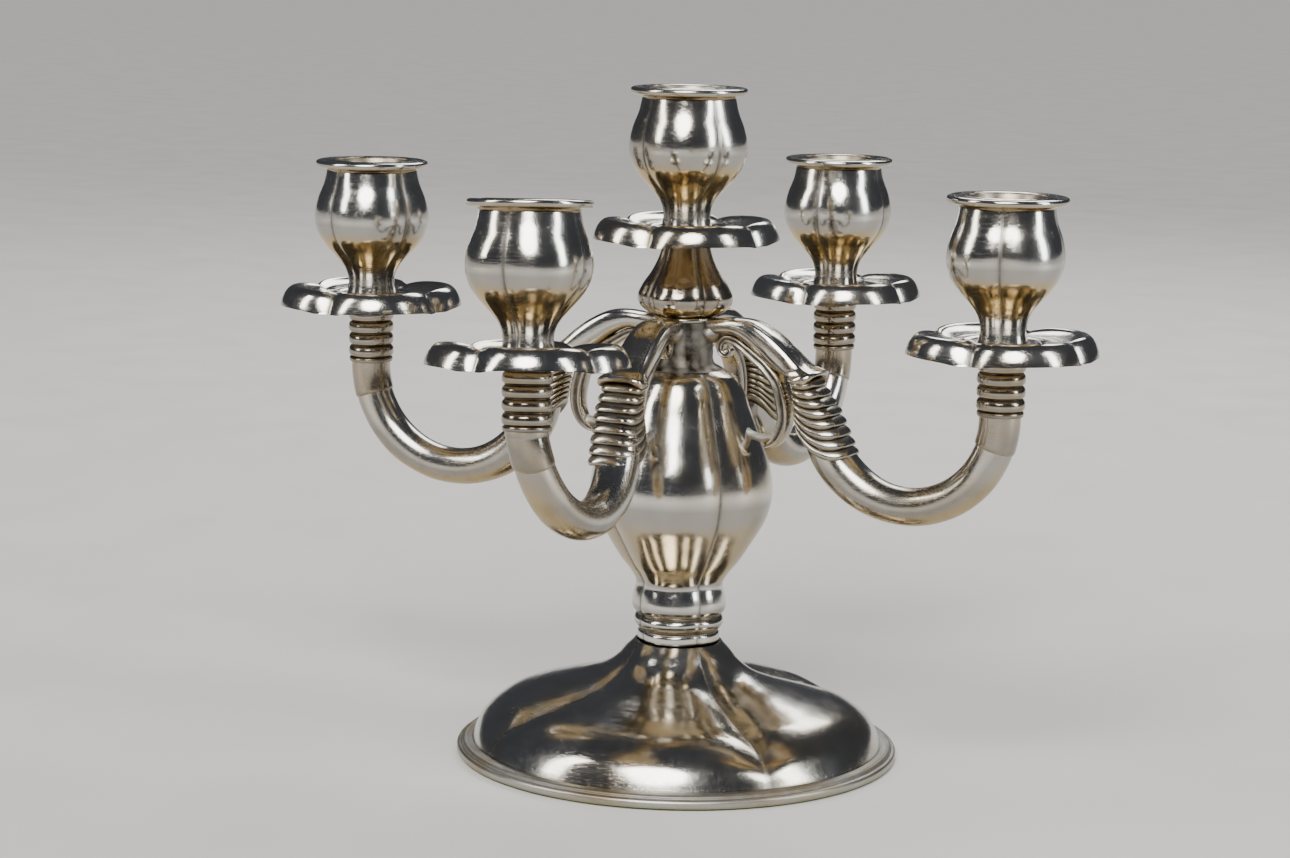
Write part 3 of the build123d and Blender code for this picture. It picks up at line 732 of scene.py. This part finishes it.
    def make_ferrule(self):
        """The ferrule's plain foot round the end of the bend, and its rings above."""
        end = self.leaning(self.at([self.reach], [118.2]))
        path = np.vstack([self.bend(np.linspace(162, 180, 30)), end])
        step = np.arange(len(path))
        half = 6.25 - 0.5 * np.exp(-step / 0.6)
        p = swept(path, self.side, lambda k: round_section(half[k], half[k], 60))
        dark = 0.8 * np.exp(-step / 1.2)[:, None] + 0.12 * uneven(p, 8, self.seed + 8)
        self.piece("ferrule_foot", p, SHADED, dark)

        rows = list(FERRULE_START)
        for ring in range(FERRULE_RINGS):
            rows += [(r, RING_LOW + RING_PITCH * ring + z) for r, z in FERRULE_RING]
        rows += [(6.5, FERRULE_TOP), (5.2, FERRULE_TOP)]
        centre = self.foot[:2]
        p = turned(curve(rows, 210), centre, 0.0, 110, wave=0.22, seed=self.seed + 7)
        off = np.linalg.norm(p[:, :, :2] - centre, axis=2)
        dark = np.clip((7.15 - off) / 0.55, 0, 1) * 0.98
        self.piece("ferrule_rings", self.leaning(p), SHADED, dark, "ferrule", crease=50)


make_foot()
make_column()
make_felt()
for order, (name, (heading, reach, sway)) in enumerate(ARMS.items()):
    arm = Arm(name, heading, reach, sway, 100 + 20 * order)
    arm.make_tube()
    arm.make_sleeve()
    arm.make_cap()
    arm.make_scroll()
    arm.make_joints()
    arm.make_ferrule()
    make_light(name, tuple(arm.foot[:2]), ARM_SEAT_Z, 200 + 20 * order)
make_light("centre", (0.0, 0.0), CENTRE_SEAT_Z, 300)

# hidden pieces that stay as the CAD has them
for node in ("base_plate", "base_washer", "base_nut", "tie_rod"):
    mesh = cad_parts[node].data
    mesh.materials.clear()
    mesh.materials.append(STEEL)

bpy.ops.mesh.primitive_circle_add(vertices=96, radius=FLOOR_R, fill_type="NGON",
                                  location=(0, 0, 0))
floor = bpy.context.object
floor.name = "floor"
floor.data.materials.append(plain("floor_pale", (0.80, 0.785, 0.755), (0.815, 0.80, 0.77), 90.0,
                                  0.55, 1.5, 0.01))


def hang(lamp, azimuth, elevation, distance=0.0):
    """Puts a lamp at an angle from the camera's side, facing the object."""
    a, e = radians(AZIMUTH + azimuth), radians(elevation)
    towards = Vector((sin(a) * cos(e), -cos(a) * cos(e), sin(e)))
    item = bpy.data.objects.new(lamp.name, lamp)
    bpy.context.scene.collection.objects.link(item)
    item.location = LAMP_AIM + distance * towards
    item.rotation_euler = towards.to_track_quat("Z", "Y").to_euler()


def soft_box(name, azimuth, elevation, distance, width, height, watts, colour=(1, 1, 1)):
    """A rectangular soft light; its sizes are in metres."""
    lamp = bpy.data.lights.new(name, "AREA")
    lamp.shape, lamp.size, lamp.size_y = "RECTANGLE", width, height
    lamp.energy, lamp.color = watts, colour
    hang(lamp, azimuth, elevation, distance)


# a wide sun lights the whole floor evenly
sun = bpy.data.lights.new("sun", "SUN")
sun.energy, sun.angle, sun.color = 3.0, radians(34), (1.0, 0.985, 0.955)
hang(sun, -12, 42)
soft_box("side", 68, 24, 1.4, 0.30, 1.0, 9, (0.93, 0.97, 1.0))
soft_box("left", -75, 30, 1.4, 0.30, 0.9, 7, (1.0, 0.97, 0.92))
soft_box("behind", 165, 40, 1.6, 0.9, 0.5, 9)

world = bpy.data.worlds.new("studio")
bpy.context.scene.world = world
world.use_nodes = True
background = world.node_tree.nodes["Background"]
background.inputs["Color"].default_value = (*WORLD_COLOUR, 1)
background.inputs["Strength"].default_value = 1.0

pitch, roll = radians(PITCH), radians(ROLL)
ahead = Vector((0, cos(pitch), -sin(pitch)))
across, above = Vector((1, 0, 0)), Vector((0, sin(pitch), cos(pitch)))
x_axis = across * cos(roll) + above * sin(roll)
y_axis = above * cos(roll) - across * sin(roll)
place = (Vector(AIM) - ahead * DISTANCE) * MM
turn = Matrix.Rotation(radians(AZIMUTH), 4, "Z")
camera = bpy.data.objects.new("camera", bpy.data.cameras.new("camera"))
camera.data.lens, camera.data.sensor_width = LENS, SENSOR
camera.data.clip_start, camera.data.clip_end = NEAREST, FURTHEST
bpy.context.scene.collection.objects.link(camera)
camera.matrix_world = turn @ Matrix.Translation(place) @ Matrix(
    (x_axis, y_axis, -ahead)).transposed().to_4x4()
bpy.context.scene.camera = camera
